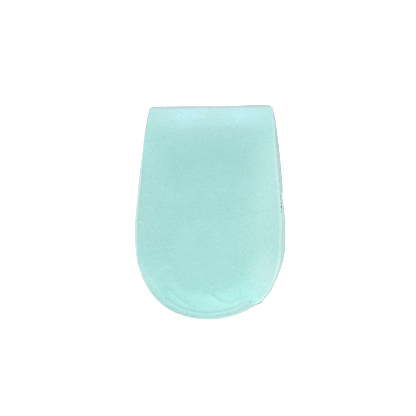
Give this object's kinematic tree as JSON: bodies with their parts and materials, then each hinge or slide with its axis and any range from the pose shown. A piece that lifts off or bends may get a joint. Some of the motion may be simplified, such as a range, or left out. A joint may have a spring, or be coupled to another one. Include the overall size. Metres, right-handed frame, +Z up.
{
  "type": "heel cup",
  "caption": "Soft dished heel cup with a fine-grained mint cover, worn in a shoe to cushion and hold the heel.",
  "frame": {"origin": "middle of the bounding box at the flat base, on the surface that the cup rests on", "axes": "+Y towards the toes, along the cup's length; +X to the side; +Z up, out of the dish"},
  "size_m": [0.0646, 0.093, 0.0145],
  "materials": {
    "moulded_body": "soft matt grey-green moulded cushion, slightly translucent at its thin edges",
    "grained_cover": "mint synthetic leather with a fine pebble grain and a soft sheen, paler at its cut edge"
  },
  "bodies": {
    "root": {"cup_body": "moulded_body", "top_cover": "grained_cover"}
  },
  "joints": []
}
